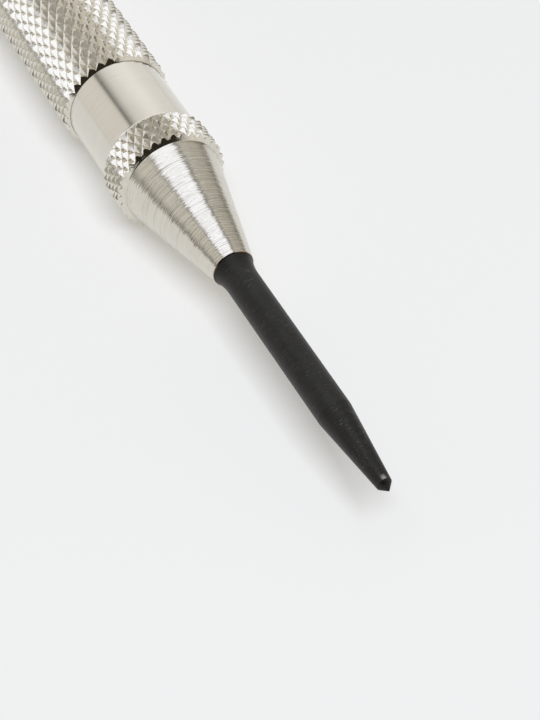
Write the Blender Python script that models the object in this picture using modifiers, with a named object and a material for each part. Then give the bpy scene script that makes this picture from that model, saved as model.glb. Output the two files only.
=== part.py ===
"""Automatic center punch, lying on its side with its point towards +X.

Lengths are in metres and +Z is up. A station is a distance behind the point, along the tool's axis.
Pressing the tool drives the plunger and the hammer back together. The barrel's taper pushes the trip
catch across the hammer meanwhile, until the catch's hole meets the plunger's pin and frees the hammer.
"""

import math

import bmesh
import bpy

MM = 0.001

# Whole tool
OVERALL_LENGTH = 130.0 * MM
GRIP_RADIUS = 7.0 * MM
SIDES = 32
HALF_FACET = math.pi / SIDES
AXIS_HEIGHT = GRIP_RADIUS * math.cos(HALF_FACET)
REST_GAP = 0.3 * MM
EDGE_BREAK = 0.3 * MM
SHARP_ANGLE = math.radians(25)
WELD = 1e-6

# Motion
PRESS_TRAVEL = 8.0 * MM
CATCH_TRAVEL = 0.7 * MM
FLIGHT_SHORT_OF_STOP = 0.4 * MM

# Punch
POINT_RADIUS = 0.89 * MM
POINT_LENGTH = 1.08 * MM
SHANK_RADIUS = 2.0 * MM
TAPER_END = 11.8 * MM
FLARE_START = 33.6 * MM
FLARE_RADIUS = 2.25 * MM
FLARE_STEPS = 4
PUNCH_TAIL_RADIUS = 1.5 * MM
PUNCH_TAIL_LENGTH = 5.5 * MM

# Nose cone with its knurled band
MOUTH = 36.14 * MM
MOUTH_RADIUS = 2.55 * MM
MOUTH_ROUND = 0.1 * MM
PUNCH_BORE = 2.38 * MM
CONE_END = 52.42 * MM
CONE_RADIUS = 6.15 * MM
BAND_RADIUS = 6.92 * MM
BAND_CHAMFER = 0.5 * MM
BAND_END = 57.48 * MM
BAND_BEVEL = 0.45 * MM
SPIGOT_RADIUS = 5.1 * MM
SPIGOT_END = 72.3 * MM
PLUNGER_STOP = 50.0 * MM
PLUNGER_BORE = 3.45 * MM

# Barrel
BARREL_RADIUS = 6.33 * MM
BARREL_END = 108.0 * MM
BARREL_FRONT_BORE = 5.3 * MM
BARREL_THREAD_START = 76.0 * MM
BARREL_THREAD_RADIUS = 6.05 * MM
CATCH_BORE = 4.95 * MM
HAMMER_BORE = CATCH_BORE - CATCH_TRAVEL

# Guide bush
BUSH_START = SPIGOT_END + REST_GAP
BUSH_LENGTH = 5.0 * MM
BUSH_END = BUSH_START + BUSH_LENGTH
BUSH_RADIUS = 5.1 * MM
BUSH_BORE = 1.6 * MM

# Hammer and trip catch
HAMMER_START = BUSH_END + REST_GAP
HAMMER_RADIUS = 4.0 * MM
HAMMER_SHOULDER = 98.0 * MM
HAMMER_END = 101.0 * MM
PIN_BORE = 1.1 * MM
PIN_BORE_END = 91.0 * MM
SPRING_SPIGOT_RADIUS = 2.3 * MM
HAMMER_FACE_THICKNESS = 3.0 * MM
SLOT_START = HAMMER_START + HAMMER_FACE_THICKNESS
SLOT_LENGTH = 2.7 * MM
SLOT_WIDTH = 3.2 * MM
SLOT_FLOOR = -3.5 * MM
CATCH_THICKNESS = 2.4 * MM
CATCH_WIDTH = 3.0 * MM
CATCH_REACH = 4.75 * MM
CATCH_BACK = -1.45 * MM
CATCH_HOLE_RADIUS = 1.05 * MM
CATCH_HOLE_SIDES = 24
CATCH_NOSE_STEPS = 8
CATCH_CENTRE = SLOT_START + SLOT_LENGTH / 2

# Plunger
HEAD_START = PLUNGER_STOP + REST_GAP
HEAD_RADIUS = 3.25 * MM
HEAD_LENGTH = 8.0 * MM
HEAD_END = HEAD_START + HEAD_LENGTH
SOCKET_RADIUS = 1.62 * MM
SOCKET_DEPTH = 5.7 * MM
ROD_RADIUS = 1.4 * MM
PIN_RADIUS = 0.9 * MM
PIN_START = HAMMER_START - PRESS_TRAVEL + FLIGHT_SHORT_OF_STOP
PIN_END = CATCH_CENTRE - CATCH_THICKNESS / 2 - REST_GAP

# Grip sleeve, end plug and spring seat
SLEEVE_START = 68.6 * MM
SLEEVE_CHAMFER = 0.85 * MM
SLEEVE_SKIRT_BORE = 6.45 * MM
SLEEVE_SKIRT_END = 82.5 * MM
SLEEVE_BORE = 6.2 * MM
SLEEVE_END = 127.4 * MM
SLEEVE_BACK_RADIUS = 6.5 * MM
PLUG_START = 124.3 * MM
PLUG_RADIUS = 6.0 * MM
PLUG_HEAD_START = SLEEVE_END + REST_GAP
PLUG_FACE_RADIUS = 4.0 * MM
SEAT_START = 121.0 * MM
SEAT_END = PLUG_START - REST_GAP
SEAT_RADIUS = 5.6 * MM
SEAT_SPIGOT_LENGTH = 3.0 * MM
DOME_STEPS = 5

# Springs
POINTS_PER_CURL = 10
MAIN_WIRE = 1.2 * MM
MAIN_MEAN_RADIUS = 3.3 * MM
MAIN_CURLS = 7
RETURN_WIRE = 0.5 * MM
RETURN_MEAN_RADIUS = 2.2 * MM
RETURN_CURLS = 9
CATCH_WIRE = 0.2 * MM
CATCH_SPRING_MEAN_RADIUS = 0.9 * MM
CATCH_CURLS = 2


def clear_scene():
    for thing in list(bpy.data.objects):
        bpy.data.objects.remove(thing, do_unlink=True)


def new_collection(name):
    collection = bpy.data.collections.new(name)
    bpy.context.scene.collection.children.link(collection)
    return collection


def new_material(name, colour, roughness, metallic=1.0):
    material = bpy.data.materials.new(name)
    material.use_nodes = True
    shader = material.node_tree.nodes["Principled BSDF"]
    shader.inputs["Base Color"].default_value = (*colour, 1.0)
    shader.inputs["Roughness"].default_value = roughness
    shader.inputs["Metallic"].default_value = metallic
    return material


def tool_axis(collection):
    """An empty at the point, whose +Z runs forward along the tool, so a station is a distance down its -Z."""
    empty = bpy.data.objects.new("tool_axis", None)
    empty.location = (OVERALL_LENGTH / 2, 0.0, AXIS_HEIGHT)
    empty.rotation_euler = (0.0, math.pi / 2, 0.0)
    collection.objects.link(empty)
    return empty


def add_piece(name, data, collection, parent, material=None):
    piece = bpy.data.objects.new(name, data)
    collection.objects.link(piece)
    piece.parent = parent
    if material:
        data.materials.append(material)
    return piece


def to_mesh(piece):
    """Replaces a curve or modified piece by its evaluated mesh, welded and shaded smooth, under its own name."""
    bpy.context.view_layer.update()
    evaluated = piece.evaluated_get(bpy.context.evaluated_depsgraph_get())
    mesh = bpy.data.meshes.new_from_object(evaluated)
    work = bmesh.new()
    work.from_mesh(mesh)
    bmesh.ops.remove_doubles(work, verts=work.verts, dist=WELD)
    work.to_mesh(mesh)
    work.free()
    mesh.shade_smooth()
    mesh.set_sharp_from_angle(angle=SHARP_ANGLE)
    name, collection, parent = piece.name, piece.users_collection[0], piece.parent
    location, rotation = piece.location.copy(), piece.rotation_euler.copy()
    bpy.data.objects.remove(piece, do_unlink=True)
    made = add_piece(name, mesh, collection, parent)
    made.location = location
    made.rotation_euler = rotation
    return made


def turned(name, outline, collection, parent, material=None):
    """A turned piece from (radius, station) points that run back along the outside.

    An outline that leaves the axis and returns to it is solid. Any other closes on itself round a bore.
    """
    points = [(r * math.cos(HALF_FACET), r * math.sin(HALF_FACET), -s) for r, s in outline]
    edges = [(i, i + 1) for i in range(len(points) - 1)]
    if outline[0][0] > 0.0:
        edges.append((len(points) - 1, 0))
    mesh = bpy.data.meshes.new(name)
    mesh.from_pydata(points, edges, [])
    piece = add_piece(name, mesh, collection, parent, material)
    screw = piece.modifiers.new("turn", "SCREW")
    screw.axis = "Z"
    screw.steps = SIDES
    screw.render_steps = SIDES
    screw.use_merge_vertices = True
    screw.merge_threshold = WELD
    return to_mesh(piece)


def cut(piece, cutter):
    cutter.hide_render = True
    cutter.display_type = "WIRE"
    modifier = piece.modifiers.new("cut_" + cutter.name, "BOOLEAN")
    modifier.operation = "DIFFERENCE"
    modifier.solver = "EXACT"
    modifier.object = cutter


def box_cutter(name, low, high, collection, parent):
    """A box between two corners in the tool's axis frame."""
    work = bmesh.new()
    bmesh.ops.create_cube(work, size=1.0)
    size = [b - a for a, b in zip(low, high)]
    middle = [(a + b) / 2 for a, b in zip(low, high)]
    bmesh.ops.scale(work, vec=size, verts=work.verts)
    bmesh.ops.translate(work, vec=middle, verts=work.verts)
    mesh = bpy.data.meshes.new(name)
    work.to_mesh(mesh)
    work.free()
    return add_piece(name, mesh, collection, parent)


def least_gap(points, wire):
    """The least gap between one curl of a wire and the next, measured on the points of its centre line."""
    half_curl = POINTS_PER_CURL // 2
    return min(
        math.dist(a, b) - wire
        for i, a in enumerate(points)
        for b in points[i + half_curl :]
    )


def coil(name, mean_radius, wire, curls, start, end, collection, parent, material):
    """A compression spring along its own Z, between two faces that it clears by the resting gap."""
    first = start + REST_GAP + wire / 2
    last = end - REST_GAP - wire / 2
    steps = curls * POINTS_PER_CURL
    points = []
    for i in range(steps + 1):
        angle = 2 * math.pi * i / POINTS_PER_CURL
        along = first + (last - first) * i / steps
        points.append((mean_radius * math.cos(angle), mean_radius * math.sin(angle), along))
    print(f"{name}: least gap to itself {least_gap(points, wire) / MM:.2f} mm")
    curve = bpy.data.curves.new(name, "CURVE")
    curve.dimensions = "3D"
    curve.bevel_depth = wire / 2
    curve.bevel_resolution = 1
    curve.use_fill_caps = True
    spline = curve.splines.new("POLY")
    spline.points.add(len(points) - 1)
    for target, point in zip(spline.points, points):
        target.co = (*point, 1.0)
    return add_piece(name, curve, collection, parent, material)


def make_punch(*home):
    flare_length = MOUTH - FLARE_START
    flare = []
    for i in range(1, FLARE_STEPS + 1):
        share = i / FLARE_STEPS
        flare.append(
            (
                SHANK_RADIUS + (FLARE_RADIUS - SHANK_RADIUS) * share**2,
                FLARE_START + flare_length * share,
            )
        )
    outline = [
        (0.0, 0.0),
        (POINT_RADIUS, POINT_LENGTH),
        (SHANK_RADIUS, TAPER_END),
        (SHANK_RADIUS, FLARE_START),
        *flare,
        (FLARE_RADIUS, PLUNGER_STOP),
        (PUNCH_TAIL_RADIUS, PLUNGER_STOP),
        (PUNCH_TAIL_RADIUS, PLUNGER_STOP + PUNCH_TAIL_LENGTH),
        (0.0, PLUNGER_STOP + PUNCH_TAIL_LENGTH),
    ]
    turned("punch", outline, *home)


def make_nose_cone(*home):
    outline = [
        (PUNCH_BORE, MOUTH),
        (MOUTH_RADIUS - MOUTH_ROUND, MOUTH),
        (MOUTH_RADIUS, MOUTH + MOUTH_ROUND),
        (CONE_RADIUS, CONE_END),
        (BAND_RADIUS, CONE_END + BAND_CHAMFER),
        (BAND_RADIUS, BAND_END - BAND_BEVEL),
        (BAND_RADIUS - BAND_BEVEL, BAND_END),
        (SPIGOT_RADIUS, BAND_END),
        (SPIGOT_RADIUS, SPIGOT_END - EDGE_BREAK),
        (SPIGOT_RADIUS - EDGE_BREAK, SPIGOT_END),
        (PLUNGER_BORE, SPIGOT_END),
        (PLUNGER_BORE, PLUNGER_STOP),
        (PUNCH_BORE, PLUNGER_STOP),
    ]
    turned("nose_cone", outline, *home)


def make_barrel(*home):
    shoulder = BUSH_END + REST_GAP
    taper_start = SLOT_START + SLOT_LENGTH
    outline = [
        (BARREL_FRONT_BORE, BAND_END + REST_GAP),
        (BARREL_RADIUS, BAND_END + REST_GAP),
        (BARREL_RADIUS, BARREL_THREAD_START),
        (BARREL_THREAD_RADIUS, BARREL_THREAD_START + EDGE_BREAK),
        (BARREL_THREAD_RADIUS, BARREL_END - EDGE_BREAK),
        (BARREL_THREAD_RADIUS - EDGE_BREAK, BARREL_END),
        (HAMMER_BORE, BARREL_END),
        (HAMMER_BORE, taper_start + PRESS_TRAVEL),
        (CATCH_BORE, taper_start),
        (CATCH_BORE, shoulder),
        (BARREL_FRONT_BORE, shoulder),
    ]
    turned("barrel", outline, *home)


def make_guide_bush(*home):
    outline = [
        (BUSH_BORE, BUSH_START),
        (BUSH_RADIUS - EDGE_BREAK, BUSH_START),
        (BUSH_RADIUS, BUSH_START + EDGE_BREAK),
        (BUSH_RADIUS, BUSH_END - EDGE_BREAK),
        (BUSH_RADIUS - EDGE_BREAK, BUSH_END),
        (BUSH_BORE, BUSH_END),
    ]
    turned("guide_bush", outline, *home)


def make_plunger(*home):
    socket_end = HEAD_START + SOCKET_DEPTH
    outline = [
        (0.0, socket_end),
        (SOCKET_RADIUS, socket_end),
        (SOCKET_RADIUS, HEAD_START),
        (HEAD_RADIUS - EDGE_BREAK, HEAD_START),
        (HEAD_RADIUS, HEAD_START + EDGE_BREAK),
        (HEAD_RADIUS, HEAD_END),
        (ROD_RADIUS, HEAD_END),
        (ROD_RADIUS, PIN_START),
        (PIN_RADIUS, PIN_START),
        (PIN_RADIUS, PIN_END),
        (0.0, PIN_END),
    ]
    turned("plunger", outline, *home)


def make_hammer(cutters, *home):
    outline = [
        (0.0, PIN_BORE_END),
        (PIN_BORE, PIN_BORE_END),
        (PIN_BORE, HAMMER_START),
        (HAMMER_RADIUS - EDGE_BREAK, HAMMER_START),
        (HAMMER_RADIUS, HAMMER_START + EDGE_BREAK),
        (HAMMER_RADIUS, HAMMER_SHOULDER - EDGE_BREAK),
        (HAMMER_RADIUS - EDGE_BREAK, HAMMER_SHOULDER),
        (SPRING_SPIGOT_RADIUS, HAMMER_SHOULDER),
        (SPRING_SPIGOT_RADIUS, HAMMER_END),
        (0.0, HAMMER_END),
    ]
    hammer = turned("hammer", outline, *home)
    low = (-SLOT_WIDTH / 2, SLOT_FLOOR, -SLOT_START - SLOT_LENGTH)
    high = (SLOT_WIDTH / 2, 2 * HAMMER_RADIUS, -SLOT_START)
    cut(hammer, box_cutter("catch_slot", low, high, cutters, hammer.parent))


def make_trip_catch(collection, parent, material):
    """A plate that slides along Y across the hammer. At rest its hole is off the axis by the catch's travel."""
    half_width = CATCH_WIDTH / 2
    nose = []
    for i in range(CATCH_NOSE_STEPS + 1):
        across = half_width - CATCH_WIDTH * i / CATCH_NOSE_STEPS
        nose.append((across, math.sqrt(CATCH_REACH**2 - across**2)))
    outline = [*nose, (-half_width, CATCH_BACK), (half_width, CATCH_BACK)]
    hole = []
    for i in range(CATCH_HOLE_SIDES):
        angle = 2 * math.pi * i / CATCH_HOLE_SIDES
        hole.append(
            (
                CATCH_HOLE_RADIUS * math.cos(angle),
                CATCH_TRAVEL + CATCH_HOLE_RADIUS * math.sin(angle),
            )
        )
    curve = bpy.data.curves.new("trip_catch", "CURVE")
    curve.dimensions = "2D"
    curve.fill_mode = "BOTH"
    curve.extrude = CATCH_THICKNESS / 2
    for loop in (outline, hole):
        spline = curve.splines.new("POLY")
        spline.points.add(len(loop) - 1)
        spline.use_cyclic_u = True
        for target, (x, y) in zip(spline.points, loop):
            target.co = (x, y, 0.0, 1.0)
    catch = add_piece("trip_catch", curve, collection, parent, material)
    catch.location = (0.0, 0.0, -CATCH_CENTRE)
    to_mesh(catch)


def make_spring_seat(*home):
    outline = [
        (0.0, SEAT_START - SEAT_SPIGOT_LENGTH),
        (SPRING_SPIGOT_RADIUS, SEAT_START - SEAT_SPIGOT_LENGTH),
        (SPRING_SPIGOT_RADIUS, SEAT_START),
        (SEAT_RADIUS - EDGE_BREAK, SEAT_START),
        (SEAT_RADIUS, SEAT_START + EDGE_BREAK),
        (SEAT_RADIUS, SEAT_END),
        (0.0, SEAT_END),
    ]
    turned("spring_seat", outline, *home)


def make_grip_sleeve(*home):
    outline = [
        (SLEEVE_SKIRT_BORE, SLEEVE_START),
        (GRIP_RADIUS, SLEEVE_START + SLEEVE_CHAMFER),
        (GRIP_RADIUS, SLEEVE_END - SLEEVE_CHAMFER),
        (SLEEVE_BACK_RADIUS, SLEEVE_END),
        (SLEEVE_BORE, SLEEVE_END),
        (SLEEVE_BORE, SLEEVE_SKIRT_END),
        (SLEEVE_SKIRT_BORE, SLEEVE_SKIRT_END),
    ]
    turned("grip_sleeve", outline, *home)


def make_end_plug(*home):
    dome_width = SLEEVE_BACK_RADIUS - PLUG_FACE_RADIUS
    dome_length = OVERALL_LENGTH - PLUG_HEAD_START
    dome = []
    for i in range(DOME_STEPS + 1):
        angle = math.pi / 2 * i / DOME_STEPS
        dome.append(
            (
                PLUG_FACE_RADIUS + dome_width * math.cos(angle),
                PLUG_HEAD_START + dome_length * math.sin(angle),
            )
        )
    outline = [
        (0.0, PLUG_START),
        (PLUG_RADIUS - EDGE_BREAK, PLUG_START),
        (PLUG_RADIUS, PLUG_START + EDGE_BREAK),
        (PLUG_RADIUS, PLUG_HEAD_START),
        *dome,
        (0.0, OVERALL_LENGTH),
    ]
    turned("end_plug", outline, *home)


def make_springs(collection, axis, material):
    coil(
        "main_spring", MAIN_MEAN_RADIUS, MAIN_WIRE, MAIN_CURLS,
        -SEAT_START, -HAMMER_SHOULDER, collection, axis, material,
    )
    coil(
        "return_spring", RETURN_MEAN_RADIUS, RETURN_WIRE, RETURN_CURLS,
        -BUSH_START, -HEAD_END, collection, axis, material,
    )
    catch_spring = coil(
        "catch_spring", CATCH_SPRING_MEAN_RADIUS, CATCH_WIRE, CATCH_CURLS,
        SLOT_FLOOR, CATCH_BACK, collection, axis, material,
    )
    catch_spring.location = (0.0, 0.0, -CATCH_CENTRE)
    catch_spring.rotation_euler = (-math.pi / 2, 0.0, 0.0)


def main():
    clear_scene()
    collection = new_collection("automatic_center_punch")
    cutters = new_collection("cutters")
    axis = tool_axis(collection)

    knurled_nickel = new_material("knurled_nickel", (0.66, 0.63, 0.57), 0.25)
    satin_nickel = new_material("satin_nickel", (0.70, 0.67, 0.61), 0.32)
    turned_nickel = new_material("turned_nickel", (0.68, 0.65, 0.58), 0.28)
    black_oxide = new_material("black_oxide", (0.02, 0.02, 0.021), 0.42, 0.6)
    bright_steel = new_material("bright_steel", (0.56, 0.57, 0.58), 0.3)
    hardened_steel = new_material("hardened_steel", (0.34, 0.34, 0.35), 0.35)
    spring_steel = new_material("spring_steel", (0.28, 0.28, 0.29), 0.3)

    make_punch(collection, axis, black_oxide)
    make_nose_cone(collection, axis, turned_nickel)
    make_barrel(collection, axis, satin_nickel)
    make_guide_bush(collection, axis, hardened_steel)
    make_plunger(collection, axis, bright_steel)
    make_hammer(cutters, collection, axis, hardened_steel)
    make_trip_catch(collection, axis, hardened_steel)
    make_spring_seat(collection, axis, bright_steel)
    make_grip_sleeve(collection, axis, knurled_nickel)
    make_end_plug(collection, axis, satin_nickel)
    make_springs(collection, axis, spring_steel)


main()
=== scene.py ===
"""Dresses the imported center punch: nickel plate, cut knurling, black oxide, and the studio it lies in.

Lengths are in metres. A station is a distance behind the point, along the tool's axis, and an outline is
a list of (radius, station) corners that is turned about that axis.
"""

import math

import bmesh
import bpy
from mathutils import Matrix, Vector


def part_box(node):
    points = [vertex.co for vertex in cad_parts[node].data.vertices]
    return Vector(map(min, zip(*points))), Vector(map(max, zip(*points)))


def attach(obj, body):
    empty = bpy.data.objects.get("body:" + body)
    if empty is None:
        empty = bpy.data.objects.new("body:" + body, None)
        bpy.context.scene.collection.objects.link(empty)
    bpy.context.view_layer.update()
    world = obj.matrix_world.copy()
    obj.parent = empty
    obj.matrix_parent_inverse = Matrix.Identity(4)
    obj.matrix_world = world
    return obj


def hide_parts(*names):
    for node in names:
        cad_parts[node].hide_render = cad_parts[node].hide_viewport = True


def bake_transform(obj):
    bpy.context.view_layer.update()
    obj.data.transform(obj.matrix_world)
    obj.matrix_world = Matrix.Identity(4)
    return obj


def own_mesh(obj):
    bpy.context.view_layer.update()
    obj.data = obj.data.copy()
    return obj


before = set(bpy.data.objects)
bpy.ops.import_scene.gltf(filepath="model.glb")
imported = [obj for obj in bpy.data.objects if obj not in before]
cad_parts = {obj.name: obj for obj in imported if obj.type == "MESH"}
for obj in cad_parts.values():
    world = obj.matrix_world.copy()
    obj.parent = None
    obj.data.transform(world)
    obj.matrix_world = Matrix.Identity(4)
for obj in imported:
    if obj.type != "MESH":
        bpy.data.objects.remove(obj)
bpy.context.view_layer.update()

MM = 0.001

# Places read from the frame. The solids have 32 sides with one flat side down.
CAD_SIDES = 32
CAD_FLAT = math.cos(math.pi / CAD_SIDES)
POINT_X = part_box("punch")[1][0]
AXIS_HEIGHT = (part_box("grip_sleeve")[0][2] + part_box("grip_sleeve")[1][2]) / 2
AXIS = Vector((POINT_X, 0.0, AXIS_HEIGHT))


def stations(node):
    """The front and back station of a CAD node."""
    low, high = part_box(node)
    return POINT_X - high[0], POINT_X - low[0]


def outer_radius(node):
    """The radius of a CAD node out to its corners."""
    low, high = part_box(node)
    return (high[2] - low[2]) / 2 / CAD_FLAT


# Gaps between pieces
REST_GAP = 0.3 * MM
SLIDE_GAP = 0.015 * MM
SKIRT_GAP = 0.02 * MM

# Turned pieces
SEGMENTS = 160
EDGE_ROUND = 0.08 * MM
FINE_ROUND = 0.04 * MM
ROUND_STEPS = 3
ROUND_SHARE = 0.3
GUARD = 0.06 * MM
GUARD_SHARE = 0.45
SHARP_ANGLE = math.radians(20)

# Punch
POINT_RADIUS = 0.89 * MM
POINT_LENGTH = 1.08 * MM
SHANK_RADIUS = 2.0 * MM
TAPER_END = 11.8 * MM
FLARE_START = 33.6 * MM
FLARE_STEPS = 10
FLARE_RADIUS = 2.42 * MM
PUNCH_TAIL_RADIUS = 1.5 * MM
PUNCH_END = stations("punch")[1]

# Nose cone with its knurled band
MOUTH, SPIGOT_END = stations("nose_cone")
MOUTH_RADIUS = 2.55 * MM
MOUTH_ROUND = 0.1 * MM
PUNCH_BORE = FLARE_RADIUS + SLIDE_GAP
CONE_END = 52.42 * MM
CONE_RADIUS = 6.15 * MM
BAND_RADIUS = outer_radius("nose_cone")
BAND_CHAMFER = 0.5 * MM
BAND_END = 57.48 * MM
BAND_BEVEL = 0.45 * MM
SPIGOT_RADIUS = 5.1 * MM
PLUNGER_STOP = 50.0 * MM
PLUNGER_BORE = 3.45 * MM

# Barrel
BARREL_END = stations("barrel")[1]
BARREL_RADIUS = outer_radius("barrel")
BARREL_FRONT_BORE = 5.3 * MM
THREAD_START = 76.0 * MM
THREAD_RADIUS = 6.05 * MM
CATCH_BORE = 4.95 * MM
HAMMER_BORE = 4.25 * MM
SHOULDER = 77.9 * MM
CAM_START = 83.6 * MM
CAM_LENGTH = 8.0 * MM
EDGE_BREAK = 0.3 * MM
COLLAR_RISE = 0.07 * MM
COLLAR_LENGTH = 0.3 * MM

# Grip sleeve and end plug
SLEEVE_START, SLEEVE_END = stations("grip_sleeve")
GRIP_RADIUS = AXIS_HEIGHT
SLEEVE_CHAMFER = 0.85 * MM
SKIRT_BORE = BARREL_RADIUS + SKIRT_GAP
SKIRT_END = 82.5 * MM
SLEEVE_BORE = 6.2 * MM
SLEEVE_BACK_RADIUS = 6.5 * MM
PLUG_START, OVERALL_LENGTH = stations("end_plug")
PLUG_RADIUS = 6.0 * MM
PLUG_HEAD_START = SLEEVE_END + REST_GAP
PLUG_FACE_RADIUS = 4.0 * MM
DOME_STEPS = 14

# Knurling. A crossing is a station where two grooves meet at the angle of the phase.
# The depths are those of the deeper and the shallower set of grooves. The deeper set turns right going back.
# The flat is cut off the tops.
SPARE_ROWS = 3
KEY_STEPS = 1000
ROOT_SLACK = 0.02 * MM
BAND_KNURL = {
    "depths": (0.51 * MM, 0.50 * MM),
    "flat": 0.1 * MM,
    "teeth": 34,
    "lead": 2.07 * MM,
    "crossing": 52.87 * MM,
    "phase": math.radians(-1.6),
}
GRIP_KNURL = {
    "depths": (0.575 * MM, 0.50 * MM),
    "flat": 0.1 * MM,
    "teeth": 32,
    "lead": 2.5 * MM,
    "crossing": 68.9 * MM,
    "phase": math.radians(0.7),
}

# Springs
COIL_STEPS = 44
WIRE_SIDES = 14
END_TURN_PITCH = 0.3
MAIN_WIRE = 1.2 * MM
MAIN_RADIUS = 3.3 * MM
MAIN_CURLS = 7
SEAT_FACE = 121.0 * MM
MAIN_SPLIT = 112.5 * MM
HAMMER_SHOULDER = 98.0 * MM
RETURN_WIRE = 0.5 * MM
RETURN_RADIUS = 2.2 * MM
RETURN_CURLS = 9
BUSH_FACE = 72.6 * MM
PLUNGER_HEAD_END = 58.3 * MM
CATCH_WIRE = 0.2 * MM
CATCH_SPRING_RADIUS = 0.9 * MM
CATCH_CURLS = 2
CATCH_STATION = 82.25 * MM
SLOT_FLOOR = -3.5 * MM
CATCH_BACK = -1.45 * MM

# Colours
NICKEL = (0.74, 0.705, 0.63)
TURNED_NICKEL = (0.715, 0.68, 0.60)
BRIGHT_STEEL = (0.56, 0.57, 0.58)
HARD_STEEL = (0.34, 0.34, 0.35)
SPRING_STEEL = (0.28, 0.28, 0.29)
RIM_BROWN = (0.16, 0.085, 0.05, 1.0)
WORN_GLINT_STEEL = (0.45, 0.43, 0.40, 1.0)
EDGE_BROWN = (0.07, 0.05, 0.038, 1.0)
OXIDE_TINT = (1.0, 0.94, 0.84)
OXIDE_SHEEN = (1.0, 0.97, 0.92, 1.0)
OXIDE_DARK = 0.003
OXIDE_LIGHT = 0.016
OXIDE_SCRATCH = 0.045
OXIDE_SPECK = 0.1

# Rings on turned metal. Around is how much a mark changes round the tool, and rate is how many of it there
# are for each fine ring. A spread is the part of a noise, which runs from 0 to 1, over which a mark comes up.
FINE_DETAIL = {"detail": 3.0, "roughness": 0.6}
FINE_AROUND = 0.9
BROAD_AROUND = 0.7
BROAD_RATE = 0.2
BROAD_SHARE = 0.35
RING_SPREAD = (0.3, 0.7)
# Rings that are painted darker as shade
SHADED_RING_AROUND = 0.5
SHADED_RING_SPREAD = (0.6, 0.66)
PAINTED_RING_SHADE = 0.3
LEAN_AROUND = 1.3
LEAN_RATE = 0.9
LEAN = 0.36
TURNED_GLOSS = (0.8, 1.2)
SCORE_WIDTH = 0.05 * MM
SCORE_DEPTH = 0.3
CONE_SCORES = (49.9 * MM, 50.6 * MM)
BROWN_START = 0.04 * MM
BROWN_END = 0.12 * MM

# Finishes, with the spacing and height of the fine rings or the size and depth of the grain
CONE_FINISH = {"roughness": 0.1, "spacing": 0.12 * MM, "height": 0.055 * MM, "painted_line_shade": 0.3}
BARREL_FINISH = {"roughness": 0.14, "spacing": 0.09 * MM, "height": 0.003 * MM, "shade": 0.04}
PLUG_FINISH = {"roughness": 0.14, "spacing": 0.12 * MM, "height": 0.003 * MM}
HARD_FINISH = {"roughness": 0.32, "spacing": 0.2 * MM, "height": 0.004 * MM, "origin": AXIS}
BRIGHT_FINISH = {"roughness": 0.28, "spacing": 0.25 * MM, "height": 0.005 * MM, "origin": AXIS}
KNURL_FINISH = {
    "roughness": 0.1,
    "grain": 0.28 * MM,
    "depth": 0.012 * MM,
    "spread": (0.3, 0.6),
    "shades": (0.94, 1.04),
    "gloss": (0.6, 1.4),
}
WIRE_FINISH = {
    "roughness": 0.3,
    "grain": 0.3 * MM,
    "depth": 0.003 * MM,
    "spread": (0.3, 0.7),
    "shades": (0.8, 1.1),
    "gloss": (0.7, 1.3),
}

# Marks on the black oxide, each as its change round the tool and its length along the tool
OXIDE_RINGS = (1.6, 0.2 * MM)
OXIDE_BROAD = (1.5, 2.2 * MM)
OXIDE_SCRATCHES = (2.4, 0.13 * MM)
OXIDE_PATCHES = (2.0, 3.0 * MM)
OXIDE_SPECKS = (4.0, 0.15 * MM)
OXIDE_DETAIL = {"detail": 4.0, "roughness": 0.65}
OXIDE_ROUGHNESS = (0.36, 0.56)
OXIDE_SPECULAR = 0.33
OXIDE_DEPTH = 0.02 * MM
SCRATCH_SPREAD = (0.58, 0.7)
SCRATCH_PATCHES = (0.35, 0.6)
SPECK_SPREAD = (0.6, 0.7)
SPECK_PATCHES = (0.4, 0.6)
SPECK_STATIONS = (3.0 * MM, 12.5 * MM)
SPECK_FADE = 1.2 * MM
POINT_EDGE = (POINT_LENGTH - 0.02 * MM, POINT_LENGTH + 0.05 * MM)
POINT_EDGE_FADE = 0.03 * MM
POINT_EDGE_PATCHES = (0.3, 0.5)
# A worn patch of bare steel at the point, kept to a few angles round the tool: partly wear, partly a painted
# glint
WEAR_GLINT_FRONT = (POINT_LENGTH - 0.02 * MM, POINT_LENGTH + 0.04 * MM)
WEAR_GLINT_BACK = (POINT_LENGTH + 0.75 * MM, POINT_LENGTH + 0.1 * MM)
GLINT_ANGLES = (-0.2, 0.25)
GLINT_ANGLE_FADE = 0.25


def rounded(outline, closed, reach=EDGE_ROUND):
    """The outline with each corner replaced by a short curve and a guard point beyond each of its ends."""
    result = []
    count = len(outline)
    for i, corner in enumerate(outline):
        if not closed and i in (0, count - 1):
            result.append(corner)
            continue
        before = outline[i - 1]
        after = outline[(i + 1) % count]
        spans = (math.dist(corner, before), math.dist(corner, after))
        near = min(reach, min(spans) * ROUND_SHARE)
        guards = [min(near + GUARD, span * GUARD_SHARE) for span in spans]

        def towards(other, span, distance):
            share = distance / span
            return tuple(c + (o - c) * share for c, o in zip(corner, other))

        first = towards(before, spans[0], near)
        last = towards(after, spans[1], near)
        result.append(towards(before, spans[0], guards[0]))
        for step in range(ROUND_STEPS + 1):
            t = step / ROUND_STEPS
            result.append(
                tuple(
                    (1 - t) ** 2 * a + 2 * t * (1 - t) * c + t**2 * b
                    for a, c, b in zip(first, corner, last)
                )
            )
        result.append(towards(after, spans[1], guards[1]))
    return result


def finish_mesh(name, work):
    """A mesh from a bmesh, facing outwards, with soft edges smooth and hard ones sharp."""
    bmesh.ops.recalc_face_normals(work, faces=work.faces)
    mesh = bpy.data.meshes.new(name)
    work.to_mesh(mesh)
    work.free()
    mesh.shade_smooth()
    mesh.set_sharp_from_angle(angle=SHARP_ANGLE)
    return mesh


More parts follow.
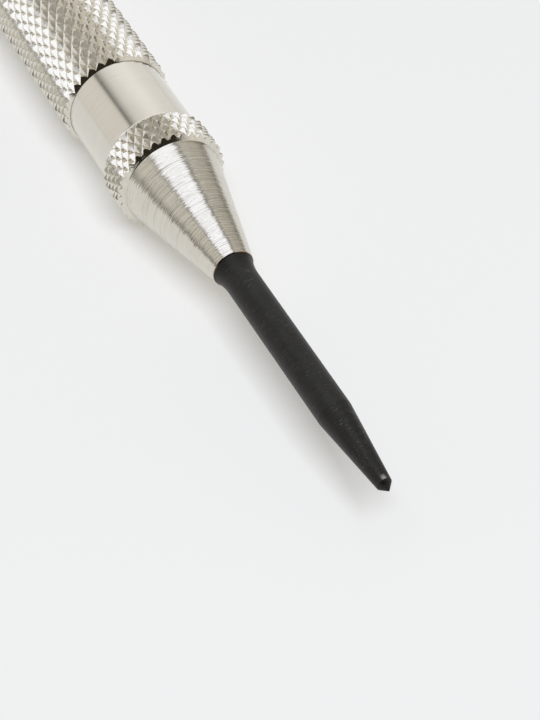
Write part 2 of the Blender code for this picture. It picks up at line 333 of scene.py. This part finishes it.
def turned_mesh(name, outline, closed):
    """Turns an outline about the tool's axis. A point on the axis becomes a single vertex."""
    work = bmesh.new()
    rings = []
    for radius, station in outline:
        if radius == 0.0:
            rings.append([work.verts.new((-station, 0.0, 0.0))])
            continue
        ring = []
        for i in range(SEGMENTS):
            angle = 2 * math.pi * i / SEGMENTS
            ring.append(work.verts.new((-station, radius * math.sin(angle), radius * math.cos(angle))))
        rings.append(ring)
    pairs = list(zip(rings, rings[1:]))
    if closed:
        pairs.append((rings[-1], rings[0]))
    for a, b in pairs:
        for i in range(SEGMENTS):
            j = (i + 1) % SEGMENTS
            corners = [a[i % len(a)], a[j % len(a)], b[j % len(b)], b[i % len(b)]]
            work.faces.new(list(dict.fromkeys(corners)))
    return finish_mesh(name, work)


def knurl_mesh(name, radius, low, high, depths, flat, teeth, lead, crossing, phase):
    """A rod cut by two crossing sets of helical grooves, which leave a four-sided pyramid in each diamond.

    A diamond is the cell from one pair of grooves to the next. Its corners a and b count the grooves of the
    two sets. The pyramids' tops stand above the radius by the flat, and the rod reaches past both stations.
    """
    first, second = depths
    reach = (1 - second / first) / 2
    columns = 2 * teeth
    start = math.floor((low - crossing) / (lead / 2)) - SPARE_ROWS
    rows = math.ceil((high - crossing) / (lead / 2)) + SPARE_ROWS
    work = bmesh.new()
    made = {}

    def corner(a, b, depth):
        key = (round((a + b) * KEY_STEPS) % (columns * KEY_STEPS), round((b - a) * KEY_STEPS))
        if key not in made:
            angle = phase + math.pi * (a + b) / teeth
            station = crossing + lead * (b - a) / 2
            out = radius + flat - depth
            made[key] = work.verts.new((-station, out * math.sin(angle), out * math.cos(angle)))
        return made[key]

    for row in range(start, rows):
        for column in range(row % 2, columns, 2):
            a = (column - row) // 2
            b = (column + row) // 2
            top = corner(a + 0.5, b + 0.5, 0.0)
            for near_a, inwards in ((a, 1), (a + 1, -1)):
                for near_b in (b, b + 1):
                    deep = corner(near_a, near_b, first)
                    notch = corner(near_a + inwards * reach, near_b, second)
                    ridge = corner(a + 0.5, near_b, second)
                    along = corner(near_a, b + 0.5, first)
                    work.faces.new((notch, ridge, top))
                    work.faces.new((deep, notch, along))
                    work.faces.new((notch, top, along))
    open_edges = [edge for edge in work.edges if edge.is_boundary]
    for end in (start, rows):
        centre = work.verts.new((-(crossing + lead * end / 2), 0.0, 0.0))
        for edge in open_edges:
            if abs(edge.verts[0].co.x - centre.co.x) < 2 * lead:
                work.faces.new((*edge.verts, centre))
    return finish_mesh(name, work)


def coil_sections(radius, wire, curls, start, end):
    """Rings of points along a compression spring with close end turns, each with its place along the spring.

    The spring clears the faces at its start and end by the resting gap.
    """
    count = curls * COIL_STEPS
    weights = []
    for i in range(count):
        turn = (i + 0.5) / COIL_STEPS
        share = min(turn, curls - turn, 1.0)
        weights.append(END_TURN_PITCH + (1 - END_TURN_PITCH) * share**2 * (3 - 2 * share))
    first = start + REST_GAP + wire / 2
    last = end - REST_GAP - wire / 2
    unit = (last - first) / sum(weights)
    sections = []
    along = first
    for i in range(count + 1):
        angle = 2 * math.pi * i / COIL_STEPS
        outwards = Vector((0.0, math.cos(angle), math.sin(angle)))
        rise_here = unit * weights[min(i, count - 1)] * COIL_STEPS / (2 * math.pi)
        tangent = Vector((rise_here, -radius * math.sin(angle), radius * math.cos(angle))).normalized()
        across = tangent.cross(outwards)
        centre = Vector((along, 0.0, 0.0)) + outwards * radius
        section = []
        for side in range(WIRE_SIDES):
            turn = 2 * math.pi * side / WIRE_SIDES
            point = centre + (outwards * math.cos(turn) + across * math.sin(turn)) * wire / 2
            section.append(point)
        sections.append((along, section))
        if i < count:
            along += unit * weights[i]
    return sections


def coil_mesh(name, sections, place):
    """The wire through the sections. place turns a distance along the spring and two across into a point."""
    work = bmesh.new()
    rings = [[work.verts.new(place(*point)) for point in section] for _, section in sections]
    for a, b in zip(rings, rings[1:]):
        for side in range(WIRE_SIDES):
            other = (side + 1) % WIRE_SIDES
            work.faces.new((a[side], a[other], b[other], b[side]))
    work.faces.new(rings[0])
    work.faces.new(rings[-1])
    return finish_mesh(name, work)


def add_piece(name, mesh, materials, body, node):
    """Puts a mesh on the tool's axis in place of a CAD node. With no body, it is not attached to one."""
    piece = bpy.data.objects.new(name, mesh)
    piece.location = AXIS
    bpy.context.scene.collection.objects.link(piece)
    mesh.materials.clear()
    for material in materials:
        mesh.materials.append(material)
    if body:
        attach(piece, body)
    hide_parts(node)
    return piece


def intersected(name, blank, stock):
    """The mesh where a turned blank and a knurled rod overlap."""
    blank_piece = bpy.data.objects.new(name + "_blank", blank)
    stock_piece = bpy.data.objects.new(name + "_stock", stock)
    for piece in (blank_piece, stock_piece):
        bpy.context.scene.collection.objects.link(piece)
    both = blank_piece.modifiers.new("knurl", "BOOLEAN")
    both.operation = "INTERSECT"
    both.solver = "EXACT"
    both.object = stock_piece
    bpy.context.view_layer.update()
    evaluated = blank_piece.evaluated_get(bpy.context.evaluated_depsgraph_get())
    mesh = bpy.data.meshes.new_from_object(evaluated)
    mesh.name = name
    for piece in (blank_piece, stock_piece):
        bpy.data.objects.remove(piece, do_unlink=True)
    mesh.shade_smooth()
    mesh.set_sharp_from_angle(angle=SHARP_ANGLE)
    return mesh


# Node helpers


def add_node(tree, kind, inputs=None, **settings):
    """A node with its settings, whose inputs are numbers, colours or other nodes' sockets."""
    node = tree.nodes.new(kind)
    for key, value in settings.items():
        setattr(node, key, value)
    for key, value in (inputs or {}).items():
        if isinstance(value, bpy.types.NodeSocket):
            tree.links.new(value, node.inputs[key])
        else:
            node.inputs[key].default_value = value
    return node


def calc(tree, operation, a, b=0.0, c=0.0):
    return add_node(tree, "ShaderNodeMath", {0: a, 1: b, 2: c}, operation=operation).outputs[0]


def vector_calc(tree, operation, a, b=(0.0, 0.0, 0.0)):
    return add_node(tree, "ShaderNodeVectorMath", {0: a, 1: b}, operation=operation).outputs[0]


def rise(tree, value, start, end):
    """0 up to start, 1 from end on, and a smooth step between. A start above the end falls instead."""
    inputs = {"Value": value, "From Min": start, "From Max": end}
    return add_node(tree, "ShaderNodeMapRange", inputs, interpolation_type="SMOOTHSTEP").outputs[0]


def within(tree, value, low, high, soft):
    up = rise(tree, value, low - soft, low + soft)
    down = rise(tree, value, high + soft, high - soft)
    return calc(tree, "MULTIPLY", up, down)


def remap(tree, value, low, high):
    """Stretches 0 to 1 onto low to high."""
    inputs = {"Value": value, "To Min": low, "To Max": high}
    return add_node(tree, "ShaderNodeMapRange", inputs).outputs[0]


def blend_colour(tree, factor, a, b):
    return add_node(tree, "ShaderNodeMixRGB", {0: factor, 1: a, 2: b}).outputs[0]


def grey(value, tint=(1.0, 1.0, 1.0)):
    return tuple(value * t for t in tint) + (1.0,)


def object_place(tree):
    return add_node(tree, "ShaderNodeTexCoord").outputs["Object"]


def station_of(tree):
    """The station of the shaded point, on a piece that sits on the tool's axis."""
    x = add_node(tree, "ShaderNodeSeparateXYZ", {0: object_place(tree)}).outputs[0]
    return calc(tree, "MULTIPLY", x, -1.0)


def round_axis(tree, around, length, origin=(0.0, 0.0, 0.0)):
    """Coordinates that run round the tool and along it, with no seam, for marks left by turning.

    Round the tool they follow a circle of radius around, and along it they rise by 1 in each length.
    """
    local = vector_calc(tree, "SUBTRACT", object_place(tree), origin)
    turn = vector_calc(tree, "NORMALIZE", vector_calc(tree, "MULTIPLY", local, (0.0, 1.0, 1.0)))
    turn = vector_calc(tree, "MULTIPLY", turn, (0.0, around, around))
    steps = vector_calc(tree, "MULTIPLY", local, (1.0 / length, 0.0, 0.0))
    return vector_calc(tree, "ADD", turn, steps)


def noise(tree, vector, scale=1.0, detail=2.0, roughness=0.5):
    inputs = {"Vector": vector, "Scale": scale, "Detail": detail, "Roughness": roughness}
    return add_node(tree, "ShaderNodeTexNoise", inputs).outputs["Fac"]


def new_material(name):
    material = bpy.data.materials.new(name)
    material.use_nodes = True
    return material, material.node_tree, material.node_tree.nodes["Principled BSDF"]


def add_bump(tree, shader, height, distance, normal=None):
    bump = add_node(tree, "ShaderNodeBump", {"Height": height, "Strength": 1.0, "Distance": distance})
    if normal:
        tree.links.new(normal, bump.inputs["Normal"])
    tree.links.new(bump.outputs[0], shader.inputs["Normal"])


def ring_marks(tree, fine, broad):
    """Fine and broad rings in one noise."""
    fine = calc(tree, "MULTIPLY", fine, 1.0 - BROAD_SHARE)
    return calc(tree, "MULTIPLY_ADD", broad, BROAD_SHARE, fine)


def finish_metal(tree, shader, base, marks, roughness, gloss, height, normal=None):
    """Gives bare metal its colour, and its gloss and relief from the marks."""
    tree.links.new(base, shader.inputs["Base Color"])
    low, high = (roughness * share for share in gloss)
    tree.links.new(remap(tree, marks, low, high), shader.inputs["Roughness"])
    shader.inputs["Metallic"].default_value = 1.0
    add_bump(tree, shader, marks, height, normal)


def turned_metal(
    name, colour, roughness, spacing, height, painted_line_shade=0.0, shade=0.06, origin=(0, 0, 0), rim=None, scores=()
):
    """Metal with the fine rings that turning and brushing leave.

    The line shade is painted shade, a darker colour on some of the rings; it also leans the surface a little
    round the tool from ring to ring.
    rim is the station of a front edge that is coloured brown, and scores are the stations of scored rings.
    """
    material, tree, shader = new_material(name)
    fine = noise(tree, round_axis(tree, FINE_AROUND, spacing, origin), **FINE_DETAIL)
    broad = noise(tree, round_axis(tree, BROAD_AROUND, spacing / BROAD_RATE, origin))
    marks = ring_marks(tree, fine, broad)
    dark, light = grey(1.0 - shade, colour), grey(1.0 + shade * 0.5, colour)
    base = blend_colour(tree, rise(tree, marks, *RING_SPREAD), dark, light)
    normal = None
    if painted_line_shade:
        # Painted shade: some of the rings, picked by noise, get a darker colour.
        deep = noise(tree, round_axis(tree, SHADED_RING_AROUND, spacing, origin))
        deep = calc(tree, "MULTIPLY", rise(tree, deep, *SHADED_RING_SPREAD), painted_line_shade)
        base = blend_colour(tree, deep, base, grey(PAINTED_RING_SHADE, colour))
        facing = add_node(tree, "ShaderNodeNewGeometry").outputs["Normal"]
        turn = vector_calc(tree, "CROSS_PRODUCT", (1.0, 0.0, 0.0), facing)
        lean = noise(tree, round_axis(tree, LEAN_AROUND, spacing / LEAN_RATE, origin), **FINE_DETAIL)
        lean = calc(tree, "MULTIPLY_ADD", lean, LEAN, -0.5 * LEAN)
        step = add_node(tree, "ShaderNodeVectorMath", {0: turn, "Scale": lean}, operation="SCALE").outputs[0]
        normal = vector_calc(tree, "NORMALIZE", vector_calc(tree, "ADD", facing, step))
    for score in scores:
        ring = within(tree, station_of(tree), score, score + SCORE_WIDTH, SCORE_WIDTH)
        marks = calc(tree, "MULTIPLY_ADD", ring, -SCORE_DEPTH, marks)
    if rim:
        # The front edge is coloured brown.
        browned = rise(tree, station_of(tree), rim + BROWN_END, rim + BROWN_START)
        base = blend_colour(tree, browned, base, RIM_BROWN)
    finish_metal(tree, shader, base, marks, roughness, TURNED_GLOSS, height, normal)
    return material


def grained_metal(name, colour, roughness, grain, depth, spread, shades, gloss):
    """Metal with a fine uneven grain, such as the torn grain of knurling or the grain of drawn wire.

    The shades and the gloss multiply the colour and the roughness, from the low grain to the high.
    """
    material, tree, shader = new_material(name)
    mottle = noise(tree, object_place(tree), 1.0 / grain, **FINE_DETAIL)
    dark, light = (grey(shade, colour) for shade in shades)
    base = blend_colour(tree, rise(tree, mottle, *spread), dark, light)
    finish_metal(tree, shader, base, mottle, roughness, gloss, depth)
    return material


def oxide_metal(name):
    """Black oxide on turned steel: dark and satin, with turning rings, scratches, specks and a worn point.
    The bare steel at the point is kept to one side of the tool, partly as wear and partly as a painted glint.
    """
    material, tree, shader = new_material(name)
    station = station_of(tree)
    y, z = add_node(tree, "ShaderNodeSeparateXYZ", {0: object_place(tree)}).outputs[1:3]
    angle = calc(tree, "ARCTAN2", y, z)
    rings = noise(tree, round_axis(tree, *OXIDE_RINGS), **OXIDE_DETAIL)
    broad = noise(tree, round_axis(tree, *OXIDE_BROAD))
    marks = ring_marks(tree, rings, broad)
    dark, light = grey(OXIDE_DARK, OXIDE_TINT), grey(OXIDE_LIGHT, OXIDE_TINT)
    base = blend_colour(tree, rise(tree, marks, *RING_SPREAD), dark, light)

    thin = noise(tree, round_axis(tree, *OXIDE_SCRATCHES))
    patch = noise(tree, round_axis(tree, *OXIDE_PATCHES), detail=1.0)
    scratch = calc(tree, "MULTIPLY", rise(tree, thin, *SCRATCH_SPREAD), rise(tree, patch, *SCRATCH_PATCHES))
    base = blend_colour(tree, scratch, base, grey(OXIDE_SCRATCH, OXIDE_TINT))

    speck = noise(tree, round_axis(tree, *OXIDE_SPECKS))
    near_point = within(tree, station, *SPECK_STATIONS, SPECK_FADE)
    speck = calc(tree, "MULTIPLY", rise(tree, speck, *SPECK_SPREAD), near_point)
    speck = calc(tree, "MULTIPLY", speck, rise(tree, patch, *SPECK_PATCHES))
    base = blend_colour(tree, speck, base, grey(OXIDE_SPECK, OXIDE_TINT))

    edge = within(tree, station, *POINT_EDGE, POINT_EDGE_FADE)
    edge = calc(tree, "MULTIPLY", edge, rise(tree, broad, *POINT_EDGE_PATCHES))
    base = blend_colour(tree, edge, base, EDGE_BROWN)

    # Bare steel at the shoulder on one side only: wear, and a painted glint.
    wear_and_glint = calc(tree, "MULTIPLY", rise(tree, station, *WEAR_GLINT_BACK), rise(tree, station, *WEAR_GLINT_FRONT))
    wear_and_glint = calc(tree, "MULTIPLY", wear_and_glint, within(tree, angle, *GLINT_ANGLES, GLINT_ANGLE_FADE))
    tree.links.new(blend_colour(tree, wear_and_glint, base, WORN_GLINT_STEEL), shader.inputs["Base Color"])
    tree.links.new(wear_and_glint, shader.inputs["Metallic"])
    tree.links.new(remap(tree, marks, *OXIDE_ROUGHNESS), shader.inputs["Roughness"])
    shader.inputs["Specular IOR Level"].default_value = OXIDE_SPECULAR
    shader.inputs["Specular Tint"].default_value = OXIDE_SHEEN
    add_bump(tree, shader, marks, OXIDE_DEPTH)
    return material


# Pieces


def make_punch(material):
    flare = []
    for i in range(1, FLARE_STEPS + 1):
        share = i / FLARE_STEPS
        radius = SHANK_RADIUS + (FLARE_RADIUS - SHANK_RADIUS) * share**2
        flare.append((radius, FLARE_START + (MOUTH - FLARE_START) * share))
    outline = [
        (0.0, 0.0),
        (POINT_RADIUS, POINT_LENGTH),
        (SHANK_RADIUS, TAPER_END),
        (SHANK_RADIUS, FLARE_START),
        *flare,
        (FLARE_RADIUS, PLUNGER_STOP),
        (PUNCH_TAIL_RADIUS, PLUNGER_STOP),
        (PUNCH_TAIL_RADIUS, PUNCH_END),
        (0.0, PUNCH_END),
    ]
    mesh = turned_mesh("punch_black", rounded(outline, closed=False, reach=FINE_ROUND), closed=False)
    add_piece("punch_black", mesh, [material], "plunger", "punch")


def make_nose_cone(turned, knurled):
    outline = [
        (PUNCH_BORE, MOUTH),
        (MOUTH_RADIUS - MOUTH_ROUND, MOUTH),
        (MOUTH_RADIUS, MOUTH + MOUTH_ROUND),
        (CONE_RADIUS, CONE_END),
        (BAND_RADIUS, CONE_END + BAND_CHAMFER),
        (BAND_RADIUS, BAND_END - BAND_BEVEL),
        (BAND_RADIUS - BAND_BEVEL, BAND_END),
        (SPIGOT_RADIUS, BAND_END),
        (SPIGOT_RADIUS, SPIGOT_END - EDGE_BREAK),
        (SPIGOT_RADIUS - EDGE_BREAK, SPIGOT_END),
        (PLUNGER_BORE, SPIGOT_END),
        (PLUNGER_BORE, PLUNGER_STOP),
        (PUNCH_BORE, PLUNGER_STOP),
    ]
    blank = turned_mesh("nose_cone_turned", rounded(outline, closed=True, reach=FINE_ROUND), closed=True)
    stock = knurl_mesh("band_knurl", BAND_RADIUS, MOUTH, SPIGOT_END, **BAND_KNURL)
    mesh = intersected("nose_cone_turned", blank, stock)
    piece = add_piece("nose_cone_turned", mesh, [turned, knurled], "barrel", "nose_cone")
    root = BAND_RADIUS + BAND_KNURL["flat"] - BAND_KNURL["depths"][0]
    for face in piece.data.polygons:
        x, y, z = face.center
        on_band = CONE_END < -x < BAND_END and math.hypot(y, z) > root - ROOT_SLACK
        face.material_index = 1 if on_band else 0


def make_barrel(material):
    outline = [
        (BARREL_FRONT_BORE, BAND_END),
        (BARREL_RADIUS + COLLAR_RISE, BAND_END),
        (BARREL_RADIUS, BAND_END + COLLAR_LENGTH),
        (BARREL_RADIUS, THREAD_START),
        (THREAD_RADIUS, THREAD_START + EDGE_BREAK),
        (THREAD_RADIUS, BARREL_END - EDGE_BREAK),
        (THREAD_RADIUS - EDGE_BREAK, BARREL_END),
        (HAMMER_BORE, BARREL_END),
        (HAMMER_BORE, CAM_START + CAM_LENGTH),
        (CATCH_BORE, CAM_START),
        (CATCH_BORE, SHOULDER),
        (BARREL_FRONT_BORE, SHOULDER),
    ]
    mesh = turned_mesh("barrel_satin", rounded(outline, closed=True), closed=True)
    add_piece("barrel_satin", mesh, [material], "barrel", "barrel")


def make_grip_sleeve(material):
    outline = [
        (SKIRT_BORE, SLEEVE_START),
        (GRIP_RADIUS, SLEEVE_START + GRIP_RADIUS - SKIRT_BORE),
        (GRIP_RADIUS, SLEEVE_END - SLEEVE_CHAMFER),
        (SLEEVE_BACK_RADIUS, SLEEVE_END),
        (SLEEVE_BORE, SLEEVE_END),
        (SLEEVE_BORE, SKIRT_END),
        (SKIRT_BORE, SKIRT_END),
    ]
    blank = turned_mesh("grip_sleeve_knurled", rounded(outline, closed=True, reach=FINE_ROUND), closed=True)
    stock = knurl_mesh("grip_knurl", GRIP_RADIUS, SLEEVE_START, SLEEVE_END, **GRIP_KNURL)
    mesh = intersected("grip_sleeve_knurled", blank, stock)
    add_piece("grip_sleeve_knurled", mesh, [material], "grip_sleeve", "grip_sleeve")


def make_end_plug(material):
    dome = []
    for i in range(DOME_STEPS + 1):
        angle = math.pi / 2 * i / DOME_STEPS
        radius = PLUG_FACE_RADIUS + (SLEEVE_BACK_RADIUS - PLUG_FACE_RADIUS) * math.cos(angle)
        dome.append((radius, PLUG_HEAD_START + (OVERALL_LENGTH - PLUG_HEAD_START) * math.sin(angle)))
    outline = [
        (0.0, PLUG_START),
        (PLUG_RADIUS - EDGE_BREAK, PLUG_START),
        (PLUG_RADIUS, PLUG_START + EDGE_BREAK),
        (PLUG_RADIUS, PLUG_HEAD_START),
        *dome,
        (0.0, OVERALL_LENGTH),
    ]
    mesh = turned_mesh("end_plug_domed", rounded(outline, closed=False), closed=False)
    add_piece("end_plug_domed", mesh, [material], "grip_sleeve", "end_plug")


def make_spring(name, mesh, material, body, node):
    """A spring on a body, with a mesh of its own."""
    piece = add_piece(name, mesh, [material], body, node)
    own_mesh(piece)


def make_springs(material):
    def along_tool(along, u, v):
        return (along, u, v)

    def across_tool(along, u, v):
        return (u - CATCH_STATION, along, v)

    # The main spring is made in two lengths, split in the barrel. The front length rides on the barrel, and
    # the back one is not attached to a body.
    coil = coil_sections(MAIN_RADIUS, MAIN_WIRE, MAIN_CURLS, -SEAT_FACE, -HAMMER_SHOULDER)
    middle = next(i for i, (along, _) in enumerate(coil) if along > -MAIN_SPLIT)
    mesh = coil_mesh("main_spring_wound", coil[middle:], along_tool)
    make_spring(
        "main_spring_wound", mesh, material, "barrel", "main_spring",
    )
    mesh = coil_mesh("main_spring_back", coil[: middle + 1], along_tool)
    back = add_piece("main_spring_back", mesh, [material], None, "main_spring")
    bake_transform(back)
    coil = coil_sections(RETURN_RADIUS, RETURN_WIRE, RETURN_CURLS, -BUSH_FACE, -PLUNGER_HEAD_END)
    make_spring(
        "return_spring_wound", coil_mesh("return_spring_wound", coil, along_tool), material,
        "barrel", "return_spring",
    )
    coil = coil_sections(CATCH_SPRING_RADIUS, CATCH_WIRE, CATCH_CURLS, SLOT_FLOOR, CATCH_BACK)
    make_spring(
        "catch_spring_wound", coil_mesh("catch_spring_wound", coil, across_tool), material,
        "hammer", "catch_spring",
    )


def dress_inside():
    """The hidden steel pieces keep their solids and get turned finishes."""
    hardened = turned_metal("hardened_steel_ground", HARD_STEEL, **HARD_FINISH)
    bright = turned_metal("bright_steel_turned", BRIGHT_STEEL, **BRIGHT_FINISH)
    finishes = {
        "guide_bush": hardened,
        "hammer": hardened,
        "trip_catch": hardened,
        "plunger": bright,
        "spring_seat": bright,
    }
    for node, material in finishes.items():
        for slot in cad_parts[node].material_slots:
            slot.material = material


# Studio

FLOOR_HALF = 2.0
FLOOR_GREY = 0.65
FLOOR_GLOW = 0.356
FLOOR_TINT = (1.0, 0.975, 0.90)


def make_floor():
    """A pale floor, lifted towards white for the camera and in reflections. It keeps its shadow."""
    mesh = bpy.data.meshes.new("floor")
    half = FLOOR_HALF
    corners = [(-half, -half, 0), (half, -half, 0), (half, half, 0), (-half, half, 0)]
    mesh.from_pydata(corners, [], [(0, 1, 2, 3)])
    floor = bpy.data.objects.new("floor", mesh)
    bpy.context.scene.collection.objects.link(floor)
    material, tree, shader = new_material("pale_floor")
    shader.inputs["Base Color"].default_value = grey(FLOOR_GREY)
    shader.inputs["Roughness"].default_value = 1.0
    shader.inputs["Specular IOR Level"].default_value = 0.0
    shader.inputs["Emission Color"].default_value = grey(1.0, FLOOR_TINT)
    rays = add_node(tree, "ShaderNodeLightPath").outputs
    seen = calc(tree, "MAXIMUM", rays["Is Camera Ray"], rays["Is Glossy Ray"])
    seen = calc(tree, "MAXIMUM", seen, rays["Is Transmission Ray"])
    tree.links.new(calc(tree, "MULTIPLY", seen, FLOOR_GLOW), shader.inputs["Emission Strength"])
    mesh.materials.append(material)


# Studio walls round the tool, as (bearing in degrees from +X towards +Y, brightness, warmth)
WALLS = (
    (-180, 0.93, 0.1), (-169, 0.78, 0.2), (-161, 0.46, 0.3), (-155, 0.03, 0.5), (-153, 0.82, 0.4),
    (-128, 0.80, 0.4), (-112, 0.82, 0.5), (-95, 0.40, 0.8), (-80, 0.035, 3.0), (28, 0.03, 3.0),
    (39, 0.85, 0.4), (65, 0.85, 0.4), (85, 0.47, 1.0), (123, 0.47, 1.0), (130, 0.80, 0.3),
    (150, 1.04, 0.0), (168, 1.02, 0.0), (180, 0.93, 0.1),
)

# What one unit of warmth takes off red, green and blue
WARMTH = (0.0, 0.042, 0.14)
COOL_WHITE = (1.0, 1.045, 1.17)

# Brightness of the softbox, of its edge on the -Y and +Y sides, of the sweep, of the gap under it and of the
# dark parts of the walls, and the world's strength as fill light, where its reflections have 1
SOFTBOX = 1.33
SOFTBOX_EDGES = (0.46, 0.33)
BACK_LIGHT = 1.35
BACK_GAP = 0.42
WALL_DARK = 0.02
FILL = 0.32

# Bands of the studio, as low end, high end and softness, or as the start and end of a rise or fall. Along
# and height are parts of the direction, side is its part across over its part to the back, and ahead and
# aside are its parts along and across over its part upwards.
LOW_WALL_ALONG = (-0.55, 0.1, 0.08)
LOW_WALL_FOOT = (0.02, 0.12)
LOW_WALL_TOP = (0.42, 0.1)
LOW_WALL_SHARE = 0.55
SKIRTING_HEIGHT = (0.04, 0.16, 0.03)
SKIRTING_ALONG = (-0.42, -0.2, 0.04)
SKIRTING_SHARE = 0.35
BEHIND = (-0.3, -0.5)
GAP_SIDE = (-0.72, 0.3, 0.05)
GAP_TOP = (0.105, 0.085)
SWEEP_SIDE = (-0.72, 0.21, 0.02)
SWEEP_HEIGHT = (0.095, 0.28, 0.012)
EDGE_AHEAD = (-0.95, 0.35, 0.1)
EDGE_ASIDE = (-0.78, 0.62, 0.08)
EDGE_CHANGE = (-0.2, 0.2)
SOFTBOX_AHEAD = (-0.85, 0.03, 0.06)
SOFTBOX_ASIDE = (-0.585, 0.385, 0.09)
LEAST_PART = 0.02

LAMP_COLOUR = (0.90, 0.93, 1.0)
LAMP_SIZE = 1.6
LAMP_ENERGY = 68.0
LAMP_PLACE = (1.45, -0.25, 2.4)


def warm(brightness, warmth):
    return tuple(brightness * (1.0 - warmth * w) for w in WARMTH) + (1.0,)


def make_world():
    """Walls of uneven brightness, a softbox overhead with a darker edge, and a bright low sweep behind."""
    world = bpy.data.worlds.new("studio")
    world.use_nodes = True
    bpy.context.scene.world = world
    tree = world.node_tree
    direction = add_node(tree, "ShaderNodeTexCoord").outputs["Generated"]
    x, y, z = add_node(tree, "ShaderNodeSeparateXYZ", {0: direction}).outputs[:3]
    turn = calc(tree, "MULTIPLY_ADD", calc(tree, "ARCTAN2", y, x), 1 / (2 * math.pi), 0.5)
    ramp = add_node(tree, "ShaderNodeValToRGB", {0: turn})
    stops = ramp.color_ramp.elements
    while len(stops) < len(WALLS):
        stops.new(0.5)
    for stop, (bearing, brightness, warmth) in zip(stops, WALLS):
        stop.position = bearing / 360 + 0.5
        stop.color = warm(brightness, warmth)
    sky = ramp.outputs["Color"]

    dark = warm(WALL_DARK, 1.0)
    low_wall = calc(tree, "MULTIPLY", rise(tree, z, *LOW_WALL_TOP), rise(tree, z, *LOW_WALL_FOOT))
    low_wall = calc(tree, "MULTIPLY", low_wall, within(tree, x, *LOW_WALL_ALONG))
    sky = blend_colour(tree, calc(tree, "MULTIPLY", low_wall, LOW_WALL_SHARE), sky, dark)

    skirting = calc(tree, "MULTIPLY", within(tree, z, *SKIRTING_HEIGHT), within(tree, x, *SKIRTING_ALONG))
    sky = blend_colour(tree, calc(tree, "MULTIPLY", skirting, SKIRTING_SHARE), sky, dark)

    back = calc(tree, "MAXIMUM", calc(tree, "MULTIPLY", x, -1.0), LEAST_PART)
    side = calc(tree, "DIVIDE", y, back)
    behind = rise(tree, x, *BEHIND)
    gap = calc(tree, "MULTIPLY", behind, rise(tree, z, *GAP_TOP))
    gap = calc(tree, "MULTIPLY", gap, within(tree, side, *GAP_SIDE))
    sky = blend_colour(tree, gap, sky, warm(BACK_GAP, 0.5))
    sweep = calc(tree, "MULTIPLY", within(tree, side, *SWEEP_SIDE), within(tree, z, *SWEEP_HEIGHT))
    sky = blend_colour(tree, calc(tree, "MULTIPLY", sweep, behind), sky, grey(BACK_LIGHT, COOL_WHITE))

    up = calc(tree, "MAXIMUM", z, LEAST_PART)
    ahead = calc(tree, "DIVIDE", x, up)
    aside = calc(tree, "DIVIDE", y, up)
    edge = calc(tree, "MULTIPLY", within(tree, ahead, *EDGE_AHEAD), within(tree, aside, *EDGE_ASIDE))
    shades = (warm(brightness, 0.5) for brightness in SOFTBOX_EDGES)
    sky = blend_colour(tree, edge, sky, blend_colour(tree, rise(tree, aside, *EDGE_CHANGE), *shades))
    box = calc(tree, "MULTIPLY", within(tree, ahead, *SOFTBOX_AHEAD), within(tree, aside, *SOFTBOX_ASIDE))
    sky = blend_colour(tree, box, sky, grey(SOFTBOX, COOL_WHITE))

    background = tree.nodes["Background"]
    tree.links.new(sky, background.inputs["Color"])
    spread = add_node(tree, "ShaderNodeLightPath").outputs["Is Diffuse Ray"]
    tree.links.new(remap(tree, spread, 1.0, FILL), background.inputs["Strength"])


def make_lamp():
    light = bpy.data.lights.new("soft_lamp", "AREA")
    light.shape = "RECTANGLE"
    light.size = LAMP_SIZE
    light.size_y = LAMP_SIZE
    light.energy = LAMP_ENERGY
    light.color = LAMP_COLOUR
    lamp = bpy.data.objects.new("soft_lamp", light)
    lamp.location = LAMP_PLACE
    lamp.visible_glossy = False
    bpy.context.scene.collection.objects.link(lamp)


# Camera
VIEW_AZIMUTH = math.radians(63.279)
VIEW_ELEVATION = math.radians(47.109)
VIEW_DISTANCE = 212.28 * MM
AIM_STATION = 21.79 * MM
AIM_SIDE = -2.64 * MM
LENS = 98.12
SENSOR_WIDTH = 36.0
NEAR_CLIP = 0.01


def make_camera():
    data = bpy.data.cameras.new("camera")
    data.lens = LENS
    data.sensor_width = SENSOR_WIDTH
    data.clip_start = NEAR_CLIP
    camera = bpy.data.objects.new("camera", data)
    level = math.cos(VIEW_ELEVATION)
    back = Vector(
        (level * math.sin(VIEW_AZIMUTH), -level * math.cos(VIEW_AZIMUTH), math.sin(VIEW_ELEVATION))
    )
    camera.location = AXIS + Vector((-AIM_STATION, AIM_SIDE, 0.0)) + back * VIEW_DISTANCE
    camera.rotation_euler = (math.pi / 2 - VIEW_ELEVATION, 0.0, VIEW_AZIMUTH)
    bpy.context.scene.collection.objects.link(camera)
    bpy.context.scene.camera = camera


def main():
    bpy.context.scene.view_settings.view_transform = "Standard"
    make_camera()
    make_floor()
    make_world()
    make_lamp()

    make_punch(oxide_metal("black_oxide_satin"))
    make_nose_cone(
        turned_metal("nickel_turned", TURNED_NICKEL, **CONE_FINISH, rim=MOUTH, scores=CONE_SCORES),
        grained_metal("nickel_knurled_band", TURNED_NICKEL, **KNURL_FINISH),
    )
    make_barrel(turned_metal("nickel_satin", NICKEL, **BARREL_FINISH))
    make_grip_sleeve(grained_metal("nickel_knurled", TURNED_NICKEL, **KNURL_FINISH))
    make_end_plug(turned_metal("nickel_satin_plug", NICKEL, **PLUG_FINISH))
    make_springs(grained_metal("spring_steel_drawn", SPRING_STEEL, **WIRE_FINISH))
    dress_inside()


main()
